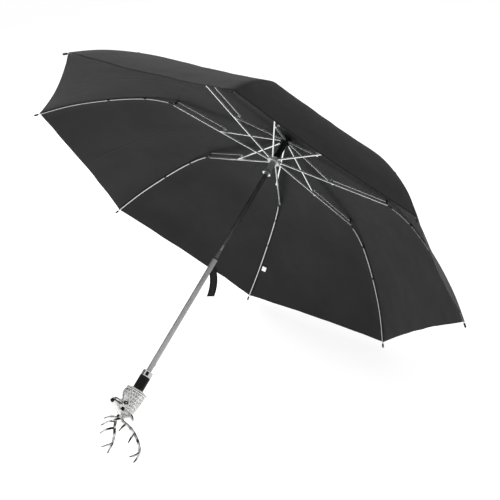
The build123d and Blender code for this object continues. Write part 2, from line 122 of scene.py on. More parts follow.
STRAP_HANG = Vector((-0.307, 0.740, -0.600)).normalized()
STRAP_TOP_R = 0.4435
STRAP_AZIMUTH = 148
STRAP_LENGTH = 0.076
STRAP_SEWN = 0.005
STRAP_WIDTH = 0.018
STRAP_CLOTH = 0.0008
STRAP_STEPS = 32
LABEL_TILT = 39
LABEL_LENGTH = 0.012
LABEL_WIDTH = 0.010
LABEL_CLOTH = 0.0004
LABEL_STEPS = 8

# ---- camera and ground ----
CAMERA_AT = Vector((1.8258, -1.1131, -0.9705))
CAMERA_LOOK = Vector((-0.79775, 0.51189, 0.31869))
CAMERA_UP = Vector((-0.04188, -0.57428, 0.81758))
CAMERA_LENS = 82.4
CAMERA_SENSOR = 36
GROUND_UP = Vector((0.3056, -0.7387, 0.6007)).normalized()
GROUND_DISTANCE = -0.4815
FLOOR_SIZE = 6.0
FLOOR_GLOW = 1.34
FLOOR_MATT = 0.36              # share of the floor's look that takes light and shadow

# ---- light ----
SOFT_SIDE = (-0.55, -0.65, -0.52)
SOFT_LOW = 0.12
SOFT_HIGH = 0.69
KEY_SIDE = Vector((-0.68, -0.66, 0.32))
KEY_DISTANCE = 2.2
KEY_SIZE = 0.9
KEY_POWER = 95
FRONT_PLACE = Vector((0.3, 0.2, 0.9))
FRONT_SIZE = 1.2
FRONT_POWER = 14

METAL_GRAIN = 900
PLASTIC_GRAIN = 2500


# ---- node material helpers ----
def new_material(name):
    """Empty node material with a Principled shader wired to the output."""
    material = bpy.data.materials.new(name)
    material.use_nodes = True
    tree = material.node_tree
    return material, tree, tree.nodes["Principled BSDF"]


def add(tree, kind, **values):
    """New node with inputs or properties set by name."""
    node = tree.nodes.new(kind)
    for key, value in values.items():
        if key in node.inputs:
            node.inputs[key].default_value = value
        else:
            setattr(node, key, value)
    return node


def noise_value(tree, scale, detail=4.0, stretch=(1, 1, 1)):
    """Noise over the object's own coordinates, stretched along chosen axes."""
    place = add(tree, "ShaderNodeTexCoord")
    mapping = add(tree, "ShaderNodeMapping")
    mapping.inputs["Scale"].default_value = stretch
    texture = add(tree, "ShaderNodeTexNoise", Scale=scale, Detail=detail)
    tree.links.new(place.outputs["Object"], mapping.inputs["Vector"])
    tree.links.new(mapping.outputs["Vector"], texture.inputs["Vector"])
    return texture.outputs["Fac"]


def ramp(tree, value, low, high, out_low, out_high):
    """Maps a value range to another one."""
    node = add(tree, "ShaderNodeMapRange")
    node.inputs["From Min"].default_value = low
    node.inputs["From Max"].default_value = high
    node.inputs["To Min"].default_value = out_low
    node.inputs["To Max"].default_value = out_high
    tree.links.new(value, node.inputs["Value"])
    return node.outputs["Result"]


def bump(tree, shader, height, strength, distance):
    """Feeds a height into the shader's normal."""
    node = add(tree, "ShaderNodeBump", Strength=strength, Distance=distance)
    tree.links.new(height, node.inputs["Height"])
    tree.links.new(node.outputs["Normal"], shader.inputs["Normal"])


def metal(name, color, roughness, grain=(1, 1, 1), wear=0.08, edge=1.0):
    """Metal with fine grain, an uneven polish and a chosen brightness at grazing angles."""
    material, tree, shader = new_material(name)
    shader.inputs["Base Color"].default_value = (*color, 1)
    shader.inputs["Specular Tint"].default_value = (edge, edge, edge, 1)
    shader.inputs["Metallic"].default_value = 1.0
    patch = noise_value(tree, 60, 3)
    tree.links.new(
        ramp(tree, patch, 0.3, 0.7, roughness - wear / 2, roughness + wear),
        shader.inputs["Roughness"],
    )
    bump(tree, shader, noise_value(tree, METAL_GRAIN, 2, grain), 0.12, 0.00005)
    return material


def plastic(name, color, roughness, texture=0.25, shine=0.25):
    """Moulded plastic with a fine grain and faint scuffs."""
    material, tree, shader = new_material(name)
    shader.inputs["Specular IOR Level"].default_value = shine
    shader.inputs["Base Color"].default_value = (*color, 1)
    scuff = noise_value(tree, 120, 5)
    tree.links.new(
        ramp(tree, scuff, 0.35, 0.7, roughness - 0.04, roughness + 0.08),
        shader.inputs["Roughness"],
    )
    bump(tree, shader, noise_value(tree, PLASTIC_GRAIN, 2), texture, 0.00005)
    return material


def math_node(tree, operation, a, b=None):
    """Math on two values, each a socket or a number."""
    node = add(tree, "ShaderNodeMath", operation=operation)
    for i, value in enumerate((a, b)):
        if value is None:
            continue
        if isinstance(value, (int, float)):
            node.inputs[i].default_value = value
        else:
            tree.links.new(value, node.inputs[i])
    return node.outputs[0]


def sine_along(tree, value, period):
    """Sine wave along a value, both in metres."""
    return math_node(tree, "SINE", math_node(tree, "MULTIPLY", value, 2 * math.pi / period))


def distance_from(tree, value, place):
    """How far a value is from a place, either way."""
    return math_node(tree, "ABSOLUTE", math_node(tree, "SUBTRACT", value, place))


def stitches(tree, split, edge):
    """Row of stitches a little way in from every seam and hem."""
    band = ramp(tree, distance_from(tree, edge, STITCH_IN), 0.0003, 0.0007, 1, 0)
    along = sine_along(tree, split.outputs["Y"], STITCH_LENGTH)
    return math_node(tree, "MULTIPLY", band, ramp(tree, along, -0.2, 0.2, 0, 1))


def pressed_folds(tree, split):
    """Faint folds down the middle of each gore and around the cloth at the knees."""
    middle = math_node(tree, "ABSOLUTE", split.outputs["X"])
    knees = distance_from(tree, split.outputs["Y"], FOLD_AT)
    crease = math_node(tree, "MAXIMUM", ramp(tree, middle, 0, 0.004, 1, 0),
                       ramp(tree, knees, 0, 0.003, 1, 0))
    patches = ramp(tree, noise_value(tree, 9, 2), 0.4, 0.6, 0.5, 5)
    return math_node(tree, "MULTIPLY", crease, patches)


def cloth_height(tree, split, edge, hem, thread):
    """Height of the threads, the turned hem, the stitches, the folds and soft crumples."""
    weave = math_node(tree, "MULTIPLY", sine_along(tree, split.outputs["X"], thread),
                      sine_along(tree, split.outputs["Y"], thread))
    height = math_node(tree, "ADD", math_node(tree, "MULTIPLY", weave, 0.25), hem)
    height = math_node(tree, "SUBTRACT", height, stitches(tree, split, edge))
    height = math_node(tree, "ADD", height, pressed_folds(tree, split))
    crumple = ramp(tree, noise_value(tree, 8, 2), 0.35, 0.65, 0, 18)
    return math_node(tree, "ADD", height, crumple)


def cloth_shade(tree, split, seam, hem, tuck_shade, hem_shade):
    """Uneven dye, with painted shade in the turned hem and along each seam, and a painted shadow where
    the cloth tucks in beside a top rib.
    """
    shade = ramp(tree, noise_value(tree, 14, 4), 0.3, 0.7, 0.9, 1.1)
    # painted shade in the turned hem and along each seam
    shade = math_node(tree, "MULTIPLY", shade, ramp(tree, hem, 0, 1, 1, hem_shade))
    # painted shadow where the cloth tucks in beside a top rib, near the crown
    tuck_shadow = math_node(tree, "MULTIPLY", ramp(tree, seam.outputs["Fac"], 0.005, 0.018, tuck_shade, 0),
                     ramp(tree, split.outputs["Y"], 0.19, 0.25, 1, 0))
    return math_node(tree, "MULTIPLY", shade, math_node(tree, "SUBTRACT", 1, tuck_shadow))


def cloth_material(name, color, thread=0.0009, glow=0.0, tuck_shade=0.5, hem_shade=0.72):
    """Plain weave from the UV map in metres, with pressed folds, painted shade along the seams and hems,
    a painted shadow beside the top ribs near the crown, stitch lines and an optional painted glow.
    """
    material, tree, shader = new_material(name)
    shader.inputs["Roughness"].default_value = 0.7
    shader.inputs["Sheen Weight"].default_value = 0.04
    shader.inputs["Sheen Roughness"].default_value = 0.5
    shader.inputs["Specular IOR Level"].default_value = 0.18
    # the glow is painted light: an emission that brightens the cloth though it is no lamp
    shader.inputs["Emission Color"].default_value = (1, 1, 1, 1)
    shader.inputs["Emission Strength"].default_value = glow
    uv = add(tree, "ShaderNodeUVMap", uv_map="cloth")
    split = add(tree, "ShaderNodeSeparateXYZ")
    tree.links.new(uv.outputs["UV"], split.inputs[0])
    seam = add(tree, "ShaderNodeAttribute", attribute_name="seam")
    border = add(tree, "ShaderNodeAttribute", attribute_name="hem")
    edge = math_node(tree, "MINIMUM", seam.outputs["Fac"], border.outputs["Fac"])
    hem = ramp(tree, edge, *HEM_FOLD, 1, 0)
    bump(tree, shader, cloth_height(tree, split, edge, hem, thread), 0.5, 0.0003)
    mix = add(tree, "ShaderNodeVectorMath", operation="SCALE")
    mix.inputs[0].default_value = color
    tree.links.new(cloth_shade(tree, split, seam, hem, tuck_shade, hem_shade), mix.inputs["Scale"])
    tree.links.new(mix.outputs["Vector"], shader.inputs["Base Color"])
    return material


def pewter_material():
    """Polished casting, darkened where the groove attribute is deep."""
    material, tree, shader = new_material("pewter")
    shader.inputs["Metallic"].default_value = 1.0
    groove = add(tree, "ShaderNodeAttribute", attribute_name="groove")
    color = add(tree, "ShaderNodeMix", data_type="RGBA")
    color.inputs["A"].default_value = (0.74, 0.74, 0.73, 1)
    color.inputs["B"].default_value = (0.02, 0.02, 0.021, 1)
    tree.links.new(ramp(tree, groove.outputs["Fac"], 0.25, 0.95, 0, 1), color.inputs["Factor"])
    tree.links.new(color.outputs["Result"], shader.inputs["Base Color"])
    tree.links.new(ramp(tree, noise_value(tree, 150, 3), 0.3, 0.7, 0.14, 0.30),
                   shader.inputs["Roughness"])
    bump(tree, shader, noise_value(tree, 1400, 3), 0.15, 0.0001)
    return material


MATERIALS = {
    "frame_steel": metal("frame_steel", (0.86, 0.87, 0.88), 0.42, wear=0.03),
    "wire": metal("wire", (0.62, 0.62, 0.62), 0.30),
    "dark_tube": metal("dark_tube", (0.21, 0.21, 0.215), 0.38, (1, 1, 0.02), edge=0.3),
    "grey_tube": metal("grey_tube", (0.50, 0.50, 0.51), 0.48, (1, 1, 0.02), 0.12, edge=0.35),
    "chrome": metal("chrome", (0.52, 0.52, 0.53), 0.10, wear=0.03, edge=0.4),
    "black_plastic": plastic("black_plastic", (0.018, 0.018, 0.019), 0.42),
    "black_gloss": plastic("black_gloss", (0.006, 0.006, 0.006), 0.22, 0.05, shine=0.12),
    "canopy_cloth": cloth_material("canopy_cloth", (0.0245, 0.0245, 0.0247)),
    # the label's glow is painted light that brightens it; its painted hem shade and tuck shadow are off
    "label_cloth": cloth_material("label_cloth", (0.95, 0.95, 0.94), 0.0007, 0.3, 0.0, 1.0),
    "pewter": pewter_material(),
}
SLOT_OF = {s["node"]: s["material_slot"] for s in frame["record"]["subparts"]}


def runner_material():
    """Black sleeve above the hub, grey metal below it, bright metal at the finger ring."""
    material = plastic("runner_look", (0.010, 0.010, 0.010), 0.3, 0.1)
    tree = material.node_tree
    shader = tree.nodes["Principled BSDF"]
    place = add(tree, "ShaderNodeTexCoord")
    split = add(tree, "ShaderNodeSeparateXYZ")
    tree.links.new(place.outputs["Object"], split.inputs[0])
    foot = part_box("runner_sleeve")[0].z
    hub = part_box("runner_hub")[0].z
    bare = ramp(tree, split.outputs["Z"], hub - 0.0004, hub, 1, 0)
    ring = ramp(tree, split.outputs["Z"], foot + 0.0028, foot + 0.0032, 1, 0)
    tree.links.new(ring, shader.inputs["Metallic"])
    tone = math_node(tree, "ADD", math_node(tree, "MULTIPLY", bare, 0.22),
                     math_node(tree, "MULTIPLY", ring, 0.55))
    tree.links.new(math_node(tree, "ADD", tone, 0.01), shader.inputs["Base Color"])
    return material


def rib_material():
    """Steel channel whose hinged end is a black moulding."""
    material = metal("rib_steel", (0.62, 0.62, 0.63), 0.42)
    tree = material.node_tree
    shader = tree.nodes["Principled BSDF"]
    place = add(tree, "ShaderNodeTexCoord")
    flat = add(tree, "ShaderNodeVectorMath", operation="MULTIPLY")
    flat.inputs[1].default_value = (1, 1, 0)
    tree.links.new(place.outputs["Object"], flat.inputs[0])
    reach = add(tree, "ShaderNodeVectorMath", operation="LENGTH")
    tree.links.new(flat.outputs[0], reach.inputs[0])
    steel = ramp(tree, reach.outputs["Value"], KNEE_MOULDING, KNEE_MOULDING + 0.0003, 0, 1)
    tree.links.new(steel, shader.inputs["Metallic"])
    tree.links.new(ramp(tree, steel, 0, 1, 0.012, 0.62), shader.inputs["Base Color"])
    return material


def hub_material():
    """Satin die casting."""
    material = metal("runner_casting", (0.62, 0.62, 0.62), 0.35)
    material.node_tree.nodes["Principled BSDF"].inputs["Metallic"].default_value = 0.35
    return material


def paint(piece, slot):
    """Gives a piece one of the scene's materials."""
    piece.data.materials.clear()
    piece.data.materials.append(MATERIALS[slot])


def paint_cad():
    """Gives each CAD piece its slot's material, and the runner and outer ribs their own looks."""
    for name, piece in nodes.items():
        piece.data.materials.clear()
        piece.data.materials.append(MATERIALS[SLOT_OF[name]])
    nodes["runner_sleeve"].data.materials[0] = runner_material()
    nodes["runner_hub"].data.materials[0] = hub_material()
    rib_look = rib_material()
    for k in range(RIBS):
        nodes[f"outer_rib_{k + 1}"].data.materials[0] = rib_look


def mesh_piece(name, points, faces):
    """New smooth-shaded mesh object in the scene."""
    mesh = bpy.data.meshes.new(name)
    mesh.from_pydata([tuple(p) for p in points], [], faces)
    mesh.shade_smooth()
    piece = bpy.data.objects.new(name, mesh)
    bpy.context.scene.collection.objects.link(piece)
    return piece


def write_attribute(mesh, name, values):
    """New value for each point of a mesh, which the materials read by name."""
    attribute = mesh.attributes.new(name, "FLOAT", "POINT")
    attribute.data.foreach_set("value", np.asarray(values, np.float32))


# ---- canopy ----
def smooth_line(points, count):
    """Evenly spaced points on a natural cubic spline through the given ones."""
    p = np.array(points, float)
    knots = np.concatenate([[0], np.cumsum(np.linalg.norm(np.diff(p, axis=0), axis=1))])
    n = len(p)
    h = np.diff(knots)
    system = np.eye(n)
    right = np.zeros_like(p)
    for i in range(1, n - 1):
        system[i, i - 1 : i + 2] = h[i - 1], 2 * (h[i - 1] + h[i]), h[i]
        right[i] = 6 * ((p[i + 1] - p[i]) / h[i] - (p[i] - p[i - 1]) / h[i - 1])
    bend = np.linalg.solve(system, right)
    at = np.linspace(0, knots[-1], count)
    i = np.clip(np.searchsorted(knots, at) - 1, 0, n - 2)
    a = ((knots[i + 1] - at) / h[i])[:, None]
    b = 1 - a
    c = (h[i] ** 2 / 6)[:, None]
    return a * p[i] + b * p[i + 1] + c * ((a**3 - a) * bend[i] + (b**3 - b) * bend[i + 1])


def offset_line(line, gap):
    """A line moved sideways, upwards and outwards, by a gap."""
    along = np.gradient(line, axis=0)
    along /= np.linalg.norm(along, axis=1)[:, None]
    return line + gap * np.stack([-along[:, 1], along[:, 0]], axis=1)


def seam_line():
    """Radius and height of the cloth along a rib, from the crown to the corner."""
    over_rib = offset_line(smooth_line(RIB_LINE, 41), CLOTH_OVER_RIB)
    inner = [(r, CLOTH_TOP) for r in CLOTH_START]
    bend = CLOTH_START[1]
    slope = (TAIL[1] - CLOTH_TOP) / (TAIL[0] - bend)
    inner += [(r, CLOTH_TOP + slope * (r - bend)) for r in (0.06, 0.12, 0.18)]
    outer = [tuple(over_rib[i]) for i in (12, 16, 20, 24, 28, 32, 36, 39)]
    return smooth_line(inner + [TAIL] + outer, CLOTH_ROWS)


def canopy():
    """One continuous sheet of eight gores, drawn in along the hem."""
    line = seam_line()
    length = np.concatenate([[0], np.cumsum(np.linalg.norm(np.diff(line, axis=0), axis=1))])
    columns = RIBS * GORE_COLUMNS
    points, seam, hem = [], [], []
    for i, (r, z) in enumerate(line):
        out = r / CANOPY_R
        for j in range(columns):
            angle = j * STEP / GORE_COLUMNS
            t = (j % GORE_COLUMNS) / GORE_COLUMNS
            chord = math.cos(STEP / 2) / math.cos((t - 0.5) * STEP)
            belly = 4 * t * (1 - t)
            radius = r * chord * (1 - HEM_PULL * out * belly)
            fold = noise.noise(Vector((angle * 22, out * 1.6, 0.5))) * smooth(out, 0.15, 0.6)
            slack = noise.noise(Vector((angle * 7, out * 4, 4.5))) * out**2
            ripple = (FOLD_RIPPLE * fold + SLACK_RIPPLE * slack) * min(1.0, 3 * belly)
            points.append((radius * math.cos(angle), radius * math.sin(angle), z + ripple))
            seam.append(radius * math.sin(min(t, 1 - t) * STEP))
            hem.append(length[-1] - length[i])
    faces = []
    for i in range(len(line) - 1):
        for j in range(columns):
            k = (j + 1) % columns
            faces.append((i * columns + j, (i + 1) * columns + j,
                          (i + 1) * columns + k, i * columns + k))
    piece = mesh_piece("canopy_sheet", points, faces)
    map_gores(piece.data, line, length)
    write_attribute(piece.data, "seam", seam)
    write_attribute(piece.data, "hem", hem)
    return piece


def map_gores(mesh, line, length):
    """Cloth map in metres: across each gore from its middle, and along it from the crown."""
    columns = RIBS * GORE_COLUMNS
    uv = mesh.uv_layers.new(name="cloth")
    for face in mesh.polygons:
        gore = (face.index % columns) // GORE_COLUMNS
        for loop in face.loop_indices:
            i, j = divmod(mesh.loops[loop].vertex_index, columns)
            t = (j - gore * GORE_COLUMNS) % columns / GORE_COLUMNS
            uv.data[loop].uv = (line[i][0] * math.sin((t - 0.5) * STEP), length[i])


def follow_weights(point):
    """Shares of the bodies a cloth point follows: crown, top ribs, stretchers and outer ribs."""
    r = math.hypot(point[0], point[1])
    angle = math.atan2(point[1], point[0]) % (2 * math.pi)
    position = angle / STEP
    k = int(position) % RIBS
    t = position - int(position)
    t = t * t * (3 - 2 * t)
    radial = r / (math.cos(STEP / 2) / math.cos((position - int(position) - 0.5) * STEP))
    crown = 1 - smooth(radial, *CROWN_HOLD)
    outer = smooth(radial, *OUTER_HOLD)
    middle = (1 - crown) * (1 - outer)
    shares = {"upper_shaft": crown}
    for rib, part in ((k, 1 - t), ((k + 1) % RIBS, t)):
        n = rib + 1
        for body, share in ((f"top_rib_{n}", middle * (1 - STRETCHER_PULL)),
                            (f"stretcher_{n}", middle * STRETCHER_PULL),
                            (f"outer_rib_{n}", (1 - crown) * outer)):
            if share * part > 1e-4:
                shares[body] = shares.get(body, 0) + share * part
    return shares


def smooth(x, low, high):
    """0 below a range, 1 above it, with a soft step between."""
    t = min(1.0, max(0.0, (x - low) / (high - low)))
    return t * t * (3 - 2 * t)


def cloth_bones():
    """Armature with one bone per body the cloth follows, each copying that body's place."""
    bodies = ["upper_shaft"]
    for k in range(RIBS):
        bodies += [f"top_rib_{k + 1}", f"stretcher_{k + 1}", f"outer_rib_{k + 1}"]
    data = bpy.data.armatures.new("cloth_bones")
    rig = bpy.data.objects.new("cloth_bones", data)
    bpy.context.scene.collection.objects.link(rig)
    bpy.context.view_layer.objects.active = rig
    bpy.ops.object.mode_set(mode="EDIT")
    for body in bodies:
        bone = data.edit_bones.new(body)
        bone.head = (0, 0, 0)
        bone.tail = (0, 0.1, 0)
        bone.roll = 0
    bpy.ops.object.mode_set(mode="OBJECT")
    for body in bodies:
        copy = rig.pose.bones[body].constraints.new("COPY_TRANSFORMS")
        copy.target = frame["bodies"][body]
    rig.hide_render = True
    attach(rig, "upper_shaft")
    return rig


def skin(piece, rig, weights=None):
    """Makes a cloth piece follow the rig, by each point's place or by fixed shares."""
    groups = {bone.name: piece.vertex_groups.new(name=bone.name) for bone in rig.data.bones}
    for v in piece.data.vertices:
        for body, share in (weights or follow_weights(v.co)).items():
            groups[body].add([v.index], share, "REPLACE")
    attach(piece, "upper_shaft")
    modifier = piece.modifiers.new("follow", "ARMATURE")
    modifier.object = rig


def solidify(piece, thickness):
    """Gives a sheet its thickness."""
    modifier = piece.modifiers.new("thickness", "SOLIDIFY")
    modifier.thickness = thickness
    modifier.offset = 0


# ---- stag ----
def stag(forward, side, up):
    """Point on the stag, in mm: forward along -Y, side along +X, up away from the shaft."""
    return Vector((side / 1000, -forward / 1000, NECK_Z - up / 1000))


def mirrored(line, sign):
    """A line of stag points on one side or the other."""
    return [(f, sign * s, u) for f, s, u in line]


def ring_tube(bm, rings):
    """Skins a list of rings of points into a closed tube."""
    rows = [[bm.verts.new(p) for p in ring] for ring in rings]
    n = len(rows[0])
    for a, b in zip(rows, rows[1:]):
        for i in range(n):
            bm.faces.new((a[i], a[(i + 1) % n], b[(i + 1) % n], b[i]))
    bm.faces.new(rows[0][::-1])
    bm.faces.new(rows[-1])


BLOB_RINGS = 14
BLOB_SIDES = 24


def blob(bm, centre, radii):
    """Ellipsoid with its axes along the stag's forward, side and up, in mm."""
    rings = []
    for i in range(1, BLOB_RINGS):
        a = math.pi * i / BLOB_RINGS
        ring = []
        for j in range(BLOB_SIDES):
            b = 2 * math.pi * j / BLOB_SIDES
            local = Vector((radii[0] * math.sin(a) * math.cos(b),
                            radii[1] * math.sin(a) * math.sin(b), radii[2] * math.cos(a)))
            ring.append(stag(*(Vector(centre) + local)))
        rings.append(ring)
    ring_tube(bm, rings)


def limb(bm, line, radii, sides=20, flat=1.0, bumps=0.0):
    """Tapered tube along stag points in mm, with round ends and an optional knobbly skin."""
    spots = [stag(*p) for p in line]
    path = smooth_line([tuple(p) for p in spots], 6 * len(line) + 8)
    path = [Vector(p) for p in path]
    count = len(path)
    radius = np.interp(np.linspace(0, 1, count), np.linspace(0, 1, len(radii)), radii) / 1000
    tangent = [(path[min(i + 1, count - 1)] - path[max(i - 1, 0)]).normalized() for i in range(count)]
    across = tangent[0].orthogonal().normalized()
    rings = []
    for i in range(count):
        across = (across - tangent[i] * across.dot(tangent[i])).normalized()
        other = tangent[i].cross(across)
        ends = [(0.0, 1.0)]
        if i == 0:
            ends = [(-math.cos(a), math.sin(a)) for a in (0.35, 0.8, 1.2)] + ends
        if i == count - 1:
            ends = ends + [(math.cos(a), math.sin(a)) for a in (1.2, 0.8, 0.35)]
        for shift, share in ends:
            centre = path[i] + tangent[i] * shift * radius[i]
            ring = []
            for j in range(sides):
                a = 2 * math.pi * j / sides
                knob = 1 + bumps * noise.noise(Vector((3 * math.cos(a), 3 * math.sin(a), i * 0.9)))
                reach = radius[i] * share * knob
                ring.append(centre + (across * math.cos(a) * flat + other * math.sin(a)) * reach)
            rings.append(ring)
    ring_tube(bm, rings)


# sizes of the stag, in mm: forward, side and up
CARVED_SPOTS = [((11.6, 9.8, 44.2), 1.0, 4.9), ((38.6, 3.0, 39.6), 0.9, 1.7)]   # eye, nostril
CHEEK = (14.0, 31.6)           # middle of the carved whorl on the cheek
WHORL_R = 2.2
MOUTH_UP = 36.9
MOUTH_RISE = 0.05
EYE_AT = (11.6, 9.6, 44.3)
EYE_RADII = (2.3, 1.9, 1.9)
VOXEL = 0.00055                # in metres
SMOOTH_ROUNDS = 9
EAR = [(-3, 10, 46), (-6, 15.5, 47.8), (-8.5, 21, 50.6), (-11, 26.6, 55)]
EAR_RADII = [3.4, 5.6, 5.0, 0.9]
NECK_SIDES = 48
NECK_SHAPE = [                 # up, centre, half depth and half width of the neck
    (5, 0, 20.5, 20.0), (10, 1.2, 21.6, 19.8), (17, 1.8, 21.4, 19.2), (26, 0.8, 19.4, 18.2),
    (35, -0.6, 16.6, 16.4), (43, -1.6, 13.4, 13.8), (50, -2.0, 10.0, 11.0), (56, -2.0, 5.0, 6.5),
]


def stag_form():
    """Rough closed forms of the bust, which the remesh joins."""
    bm = bmesh.new()
    shape = smooth_line(NECK_SHAPE, 30)
    rings = []
    for h, centre, front, wide in shape:
        ring = []
        for j in range(NECK_SIDES):
            a = 2 * math.pi * j / NECK_SIDES
            ring.append(stag(centre + front * math.cos(a), wide * math.sin(a), h))
        rings.append(ring)
    ring_tube(bm, rings)
    blob(bm, (6.5, 0, 45), (13.5, 10.8, 10.5))
    limb(bm, [(9, 0, 44), (19, 0, 42.5), (28, 0, 40.5), (34, 0, 39.5)], [10.0, 7.6, 6.0, 5.4])
    limb(bm, [(10, 0, 36), (20, 0, 35), (31, 0, 34.5)], [8.0, 5.2, 3.6])
    blob(bm, (36, 0, 39.6), (3.4, 4.8, 3.9))
    for side in (-1, 1):
        blob(bm, (12, side * 6.2, 37.5), (7.5, 5.2, 6.5))
        blob(bm, (11, side * 6.6, 32.5), (6.5, 4.6, 5.0))
        blob(bm, (13, side * 8.0, 47.6), (4.6, 3.0, 2.4))
        blob(bm, (36.2, side * 2.9, 40.6), (2.6, 2.0, 2.6))
        limb(bm, [(-1, side * 6.5, 50), (1.0, side * 9.2, 57), (1.7, side * 9.9, 60.2)], [5.2, 3.4, 3.1])
        limb(bm, mirrored(EAR, side), EAR_RADII, flat=0.5)
    return bm


def fur_height(p):
    """Height of the carved fur, 0 in the cuts and 1 on the locks, at a stag point in mm."""
    forward, side, up = p
    angle = math.atan2(side, forward)
    wobble = noise.noise(Vector((forward, side, up)) * 0.11)
    row = up / 6.5 + 0.55 * wobble
    column = angle * 4.0 + 0.5 * (math.floor(row) % 2) + 0.7 * wobble
    across = abs(column - math.floor(column) - 0.5) * 2
    down = row - math.floor(row)
    lock = (down - 0.55 * across**1.6) % 1.0
    drift = 3 * noise.noise(Vector((angle, up * 0.2, 3)))
    strand = 0.5 + 0.5 * math.sin(column * 2 * math.pi * 4 + drift)
    return 0.7 * (1 - lock) ** 1.4 + 0.3 * strand


def face_share(p):
    """1 on the smooth face and ears, 0 on the furred neck."""
    forward, side, up = p
    front = smooth(forward + 0.35 * (up - 38), 11, 17)
    ears = smooth(abs(side) + 0.6 * (up - 46), 15, 19) * smooth(up, 41, 45)
    return max(front, ears)


def ear_rim(forward, side, up):
    """1 along the rims of the ears, in mm."""
    root, tip = Vector(EAR[0]), Vector(EAR[-1])
    along = tip - root
    spot = Vector((forward, side, up))
    t = (spot - root).dot(along) / along.length_squared
    half = np.interp(t, (0, 0.33, 0.67, 1), EAR_RADII)
    away = (spot - root - along * min(1.0, max(0.0, t))).length
    return smooth(away / half, 0.78, 0.98) * smooth(t, 0.3, 0.45) * (1 - smooth(away, 7, 9))


def carve(p):
    """How far a stag point in mm is pushed out, and how dark its groove is."""
    forward, side, up = p
    face = face_share(p)
    fur = fur_height(p)
    push = (1 - face) * (fur - 0.45) * 1.1
    dark = (1 - face) * 0.9 * smooth(1 - fur, 0.3, 1.0)
    fine = noise.noise(Vector((forward * 0.5, side * 1.7, up * 1.7)))
    push += face * 0.16 * fine
    dark += face * 0.25 * max(0.0, fine)
    for spot, depth, reach in CARVED_SPOTS:
        share = 1 - smooth(math.dist((forward, abs(side), up), spot), reach * 0.5, reach)
        push -= depth * share
        dark = max(dark, share)
    whorl = 1 - smooth(abs(math.dist((forward, up), CHEEK) - WHORL_R), 0.8, 1.5)
    whorl *= smooth(abs(side), 5.5, 7)
    push -= 0.9 * whorl
    mouth_line = MOUTH_UP + MOUTH_RISE * (forward - 28)
    mouth = (1 - smooth(abs(up - mouth_line), 0.65, 1.6)) * smooth(forward, 16, 19)
    push -= 0.8 * mouth
    nose = smooth(forward, 33.2, 34.6) * smooth(up, 37.6, 38.4)
    dark = max(dark, whorl, ear_rim(forward, abs(side), up), mouth, nose)
    return push, min(1.0, dark)


def joined_forms():
    """The bust's forms remeshed into one soft skin."""
    bm = stag_form()
    mesh = bpy.data.meshes.new("stag_bust")
    bm.to_mesh(mesh)
    bm.free()
    piece = bpy.data.objects.new("stag_bust", mesh)
    bpy.context.scene.collection.objects.link(piece)
    remesh = piece.modifiers.new("join", "REMESH")
    remesh.mode = "VOXEL"
    remesh.voxel_size = VOXEL
    soft = piece.modifiers.new("soften", "SMOOTH")
    soft.iterations = SMOOTH_ROUNDS
    soft.factor = 0.5
    graph = bpy.context.evaluated_depsgraph_get()
    done = bpy.data.meshes.new_from_object(piece.evaluated_get(graph))
    piece.modifiers.clear()
    piece.data = done
    return piece


def stag_bust():
    """Cast bust with carved fur, eye sockets, nostrils, mouth and cheek whorls."""
    piece = joined_forms()
    mesh = piece.data
    normals = [v.normal.copy() for v in mesh.vertices]
    groove = []
    for v, normal in zip(mesh.vertices, normals):
        push, dark = carve((-v.co.y * 1000, v.co.x * 1000, (NECK_Z - v.co.z) * 1000))
        v.co += normal * push / 1000
        groove.append(dark)
    write_attribute(mesh, "groove", groove)
    mesh.shade_smooth()
    return piece


def form_piece(name, bm):
    """New smooth-shaded mesh object from a bmesh."""
    mesh = bpy.data.meshes.new(name)
    bmesh.ops.recalc_face_normals(bm, faces=bm.faces)
    bm.to_mesh(mesh)
    bm.free()
    mesh.shade_smooth()
    piece = bpy.data.objects.new(name, mesh)
    bpy.context.scene.collection.objects.link(piece)
    return piece


def stag_eyes():
    """Both eyeballs, dark all over."""
    forward, side, up = EYE_AT
    bm = bmesh.new()
    for sign in (-1, 1):
        blob(bm, (forward, sign * side, up), EYE_RADII)
    piece = form_piece("stag_eyes", bm)
    write_attribute(piece.data, "groove", [1.0] * len(piece.data.vertices))
    return piece


RING_SIDES = 96
RING_PROFILE = [
    (5.2, 0.0), (12.2, 0.0), (13.4, 0.0), (22.2, 0.0), (22.9, 0.4), (23.0, 1.1), (22.6, 1.9),
    (21.4, 2.3), (21.2, 2.8), (21.9, 3.2), (22.2, 4.0), (21.8, 4.8), (20.6, 5.6), (18.0, 6.4),
    (5.2, 6.4),
]


def ring_shade(point):
    """Dark in the ring's groove and in a painted reflection of the black grip around the grip, bright
    elsewhere.
    """
    r = math.hypot(point.x, point.y) * 1000
    up = (NECK_Z - point.z) * 1000
    groove = 2.2 < up < 3.0 and r > 20
    # a dark band round the grip is a painted reflection of the black grip in the polished ring
    grip_reflection = 12 < r < 13
    return 0.9 if groove or grip_reflection else 0.05


def neck_ring():
    """Plain turned ring at the wide end of the neck, with two beads and a groove."""
    bm = bmesh.new()
    turns = [2 * math.pi * j / RING_SIDES for j in range(RING_SIDES)]
    rows = []
    for r, up in RING_PROFILE:
        rows.append([bm.verts.new(stag(r * math.cos(a), r * math.sin(a), up)) for a in turns])
    for a, b in zip(rows, rows[1:] + rows[:1]):
        for j in range(RING_SIDES):
            k = (j + 1) % RING_SIDES
            bm.faces.new((a[j], a[k], b[k], b[j]))
    piece = form_piece("neck_ring", bm)
    write_attribute(piece.data, "groove", [ring_shade(v.co) for v in piece.data.vertices])
    return piece


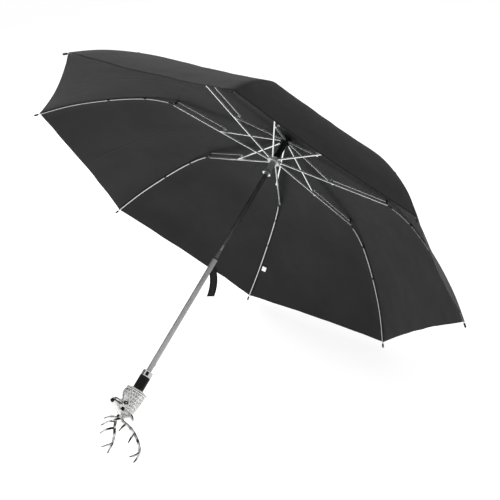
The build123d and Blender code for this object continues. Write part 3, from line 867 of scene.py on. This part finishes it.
BEAM = [(1, 8, 54), (1.8, 9.9, 60.7), (-5.2, 19.5, 65.2), (-21.5, 36.1, 74.1), (-38, 46, 90),
        (-43.5, 49.5, 103), (-43.5, 47.5, 118)]
TINES = [
    [(1.4, 9.6, 60), (10, 13, 63.5), (21.3, 14.4, 73.7)],
    [(-5, 19.3, 65.1), (2, 26, 72), (8.9, 32.3, 84.8)],
    [(-21.4, 36, 74), (-14, 44, 83), (-9.4, 51.5, 95.6)],
    [(-42.5, 48.6, 99), (-35, 51, 108), (-27.5, 51.1, 114.7)],
]


BEAM_RADII = [2.6, 2.9, 2.8, 2.7, 2.6, 2.3, 1.2]
TINE_RADII = [2.4, 2.0, 1.1]
BURR_AT = (1.7, 9.8, 60.0)
BURR_RADII = (3.4, 3.2, 1.1)
TARNISH = 0.72
TARNISH_CHANGE = 1.1


def cast_antlers():
    """Both antlers: knobbly beams and tines, with a burr where each leaves the head."""
    bm = bmesh.new()
    for side in (-1, 1):
        limb(bm, mirrored(BEAM, side), BEAM_RADII, bumps=0.28)
        for tine in TINES:
            limb(bm, mirrored(tine, side), TINE_RADII, sides=16, bumps=0.22)
        blob(bm, *mirrored([BURR_AT], side), BURR_RADII)
    piece = form_piece("cast_antlers", bm)
    tarnish = [TARNISH + TARNISH_CHANGE * noise.noise(v.co * 90) for v in piece.data.vertices]
    write_attribute(piece.data, "groove", tarnish)
    return piece


# ---- strap and label ----
def ribbon(name, centres, across, width, cup):
    """Flat woven strip along a line of points, slightly cupped, with its own cloth map."""
    count = len(centres)
    length = [0.0]
    for a, b in zip(centres, centres[1:]):
        length.append(length[-1] + (b - a).length)
    columns = 9
    points, seam, hem = [], [], []
    for i, centre in enumerate(centres):
        end = min(length[i], length[-1] - length[i])
        half = width / 2
        along = (centres[min(i + 1, count - 1)] - centres[max(i - 1, 0)]).normalized()
        out = along.cross(across).normalized()
        for j in range(columns):
            t = 2 * j / (columns - 1) - 1
            points.append(centre + across * half * t + out * cup * (t * t - 0.5))
            seam.append(half * (1 - abs(t)))
            hem.append(end)
    faces = []
    for i in range(count - 1):
        for j in range(columns - 1):
            k = i * columns + j
            faces.append((k, k + 1, k + columns + 1, k + columns))
    piece = mesh_piece(name, points, faces)
    uv = piece.data.uv_layers.new(name="cloth")
    for loop in piece.data.loops:
        i, j = divmod(loop.vertex_index, columns)
        uv.data[loop.index].uv = (width * j / (columns - 1), length[i])
    write_attribute(piece.data, "seam", seam)
    write_attribute(piece.data, "hem", hem)
    return piece


def thread_ties():
    """Wound thread loops round each outer rib, up to the seam."""
    line = smooth_line(RIB_LINE, 81)
    along = np.gradient(line, axis=0)
    for k in range(RIBS):
        turn = Matrix.Rotation(k * STEP, 3, "Z")
        bm = bmesh.new()
        for reach in TIES:
            i = int(np.argmin(abs(line[:, 0] - reach)))
            forward = Vector((along[i][0], 0, along[i][1])).normalized()
            up = Vector((-forward.z, 0, forward.x))
            centre = Vector((line[i][0], 0, line[i][1])) + up * TIE_LIFT
            rings = []
            for j in range(TIE_TURNS):
                swell = 1 + TIE_SWELL * math.cos(j * math.pi)
                middle = centre + forward * TIE_PITCH * (j - TIE_TURNS // 2)
                wide = swell * TIE_WIDE * Vector((0, 1, 0))
                high = swell * TIE_HIGH * up
                rings.append([turn @ (middle + math.cos(a) * wide + math.sin(a) * high)
                              for a in np.linspace(0, 2 * math.pi, TIE_SIDES + 1)[:-1]])
            ring_tube(bm, rings)
        piece = form_piece(f"thread_ties_{k + 1}", bm)
        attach(piece, f"outer_rib_{k + 1}")
        paint(piece, "black_plastic")


def strap_top():
    """Where the tie strap is sewn to the hem."""
    azimuth = math.radians(STRAP_AZIMUTH)
    return Vector((STRAP_TOP_R * math.cos(azimuth), STRAP_TOP_R * math.sin(azimuth),
                   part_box("closure_strap")[1].z - 0.001))


def strap():
    """Tie strap that hangs from the hem, open side to the camera, with a slack curl."""
    top = strap_top()
    across = CAMERA_LOOK.cross(STRAP_HANG).normalized()
    if across.dot(CAMERA_LOOK.cross(CAMERA_UP)) < 0:
        across = -across
    centres = []
    for i in range(STRAP_STEPS + 1):
        t = i / STRAP_STEPS
        sway = 0.0012 + 0.0175 * t - 0.0225 * t * t
        centres.append(top + STRAP_HANG * (STRAP_LENGTH * t - STRAP_SEWN) + across * sway)
    return ribbon("strap", centres, across, STRAP_WIDTH, 0.0008)


def label():
    """Blank woven label sewn beside a seam."""
    low, high = (Vector(c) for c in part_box("care_label"))
    middle = (low + high) / 2
    out = Vector((middle.x, middle.y, 0)).normalized()
    tilt = math.radians(LABEL_TILT)
    along = out * math.cos(tilt) - Vector((0, 0, math.sin(tilt)))
    across = Vector((0, 0, 1)).cross(out)
    centres = [middle + along * LABEL_LENGTH * (i / LABEL_STEPS - 0.5)
               for i in range(LABEL_STEPS + 1)]
    return ribbon("label", centres, across, LABEL_WIDTH, 0.0002)


# ---- camera, ground and light ----
def camera():
    """Long lens from in front of the handle, below the open canopy."""
    data = bpy.data.cameras.new("camera")
    data.lens = CAMERA_LENS
    data.sensor_width = CAMERA_SENSOR
    data.clip_end = 50
    cam = bpy.data.objects.new("camera", data)
    bpy.context.scene.collection.objects.link(cam)
    side = CAMERA_LOOK.cross(CAMERA_UP).normalized()
    up = side.cross(CAMERA_LOOK).normalized()
    turn = Matrix((side, up, -CAMERA_LOOK.normalized())).transposed()
    cam.matrix_world = Matrix.Translation(CAMERA_AT) @ turn.to_4x4()
    bpy.context.scene.camera = cam


def ground():
    """Pale floor under the two lowest rib tips and one antler, seen from its upper side only."""
    bpy.ops.mesh.primitive_plane_add(size=FLOOR_SIZE)
    floor = bpy.context.object
    floor.name = "floor"
    turn = GROUND_UP.to_track_quat("Z", "Y").to_matrix().to_4x4()
    floor.matrix_world = Matrix.Translation(GROUND_UP * GROUND_DISTANCE) @ turn
    material = bpy.data.materials.new("floor")
    material.use_nodes = True
    tree = material.node_tree
    tree.nodes.clear()
    out = add(tree, "ShaderNodeOutputMaterial")
    glow = add(tree, "ShaderNodeEmission", Color=(1, 1, 1, 1), Strength=FLOOR_GLOW)
    matt = add(tree, "ShaderNodeBsdfDiffuse", Color=(0.9, 0.9, 0.9, 1))
    clear = add(tree, "ShaderNodeBsdfTransparent")
    pale = add(tree, "ShaderNodeMixShader", Fac=FLOOR_MATT)
    side = add(tree, "ShaderNodeMixShader")
    geometry = add(tree, "ShaderNodeNewGeometry")
    tree.links.new(glow.outputs[0], pale.inputs[1])
    tree.links.new(matt.outputs[0], pale.inputs[2])
    tree.links.new(geometry.outputs["Backfacing"], side.inputs[0])
    tree.links.new(pale.outputs[0], side.inputs[1])
    tree.links.new(clear.outputs[0], side.inputs[2])
    tree.links.new(side.outputs[0], out.inputs["Surface"])
    floor.data.materials.append(material)


def area_light(name, place, aim, size, power):
    """Round soft lamp aimed at a point, unseen in reflections."""
    data = bpy.data.lights.new(name, "AREA")
    data.shape = "DISK"
    data.size = size
    data.energy = power
    lamp = bpy.data.objects.new(name, data)
    lamp.location = place
    lamp.rotation_mode = "QUATERNION"
    lamp.rotation_quaternion = (aim - place).to_track_quat("-Z", "Y")
    lamp.visible_glossy = False
    bpy.context.scene.collection.objects.link(lamp)


def studio_world():
    """White to the camera, a soft side-lit grey to the cloth, bright and dark cards to the metal."""
    world = bpy.data.worlds.new("studio")
    world.use_nodes = True
    tree = world.node_tree
    tree.nodes.clear()
    out = add(tree, "ShaderNodeOutputWorld")
    rays = add(tree, "ShaderNodeLightPath")
    place = add(tree, "ShaderNodeTexCoord")
    toward = add(tree, "ShaderNodeVectorMath", operation="DOT_PRODUCT")
    toward.inputs[1].default_value = SOFT_SIDE
    tree.links.new(place.outputs["Generated"], toward.inputs[0])
    soft = ramp(tree, toward.outputs["Value"], -1, 1, SOFT_LOW, SOFT_HIGH)
    cards = add(tree, "ShaderNodeTexNoise", Scale=2.6, Detail=0.0)
    tree.links.new(place.outputs["Generated"], cards.inputs["Vector"])
    behind = add(tree, "ShaderNodeVectorMath", operation="DOT_PRODUCT")
    behind.inputs[1].default_value = CAMERA_LOOK
    tree.links.new(place.outputs["Generated"], behind.inputs[0])
    flag = ramp(tree, behind.outputs["Value"], 0.1, 0.75, 1.0, 0.10)
    glossy = ramp(tree, cards.outputs["Fac"], 0.42, 0.52, 0.05, 1.1)
    glossy = math_node(tree, "MULTIPLY", glossy, flag)
    pick = add(tree, "ShaderNodeMix", data_type="FLOAT")
    tree.links.new(rays.outputs["Is Glossy Ray"], pick.inputs["Factor"])
    tree.links.new(soft, pick.inputs["A"])
    tree.links.new(glossy, pick.inputs["B"])
    seen = add(tree, "ShaderNodeMix", data_type="FLOAT")
    seen.inputs["B"].default_value = 1.0
    tree.links.new(rays.outputs["Is Camera Ray"], seen.inputs["Factor"])
    tree.links.new(pick.outputs["Result"], seen.inputs["A"])
    sky = add(tree, "ShaderNodeBackground", Color=(1, 1, 1, 1))
    tree.links.new(seen.outputs["Result"], sky.inputs["Strength"])
    tree.links.new(sky.outputs[0], out.inputs["Surface"])
    bpy.context.scene.world = world


def lights():
    """Surroundings, a key lamp from the upper left and a weak one over the camera."""
    studio_world()
    middle = (cad_low + cad_high) / 2
    area_light("key", middle + KEY_SIDE * KEY_DISTANCE, middle, KEY_SIZE, KEY_POWER)
    area_light("front", CAMERA_AT + FRONT_PLACE, middle, FRONT_SIZE, FRONT_POWER)
    bpy.context.scene.view_settings.view_transform = "Standard"


def cloth_piece(piece, rig, thickness, look, old, weights=None):
    """Finishes a cloth sheet: it follows the frame and takes the place of a CAD piece."""
    skin(piece, rig, weights)
    solidify(piece, thickness)
    paint(piece, look)
    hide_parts(old)


def main():
    """Paints the CAD, adds the cloth, the ties and the cast handle, and sets the stage."""
    paint_cad()
    rig = cloth_bones()
    cloth_piece(canopy(), rig, CLOTH, "canopy_cloth", "canopy")
    cloth_piece(strap(), rig, STRAP_CLOTH, "canopy_cloth", "closure_strap",
                follow_weights(strap_top()))
    cloth_piece(label(), rig, LABEL_CLOTH, "label_cloth", "care_label", {"outer_rib_4": 1.0})
    thread_ties()
    bust = stag_bust()
    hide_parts("stag_head")
    horns = cast_antlers()
    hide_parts("antlers")
    for piece in (bust, horns, stag_eyes(), neck_ring()):
        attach(piece, "handle")
        paint(piece, "pewter")
    camera()
    ground()
    lights()


main()
